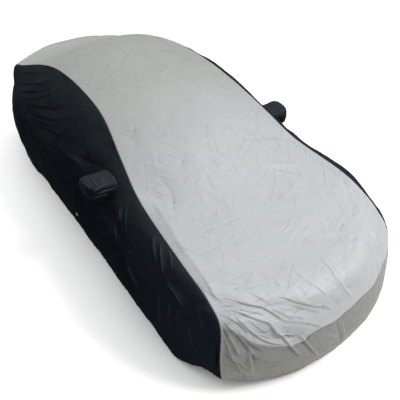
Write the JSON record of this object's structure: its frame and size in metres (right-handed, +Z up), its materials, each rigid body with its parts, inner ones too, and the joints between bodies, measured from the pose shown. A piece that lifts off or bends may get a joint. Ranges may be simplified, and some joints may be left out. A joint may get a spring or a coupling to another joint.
{
  "type": "fitted car cover",
  "caption": "Fitted two-tone cloth cover in the draped shape it takes over a low saloon car, with mirror pockets and an eyelet on each side.",
  "frame": {"origin": "middle of the cover's length and width, level with the lowest point of its hem", "axes": "+Z up, -Y towards the car's nose, +X towards the car's left side"},
  "size_m": [1.9972, 4.6799, 1.3624],
  "materials": {
    "silver_cloth": "coated silver-grey polyester, fine weave with a faint sheen",
    "black_cloth": "black coated polyester, fine weave with a soft sheen",
    "pocket_cloth": "black coated polyester, gathered",
    "patch_cloth": "black reinforcing cloth, stitched round its edge",
    "nickel": "satin nickel plate on a pressed ring"
  },
  "bodies": {
    "root": {"centre_panel": "silver_cloth", "side_panel_right": "black_cloth", "side_panel_left": "black_cloth", "mirror_pocket_right": "pocket_cloth", "mirror_pocket_left": "pocket_cloth", "eyelet_patch_right": "patch_cloth", "eyelet_patch_left": "patch_cloth", "eyelet_right": "nickel", "eyelet_left": "nickel"}
  },
  "joints": []
}
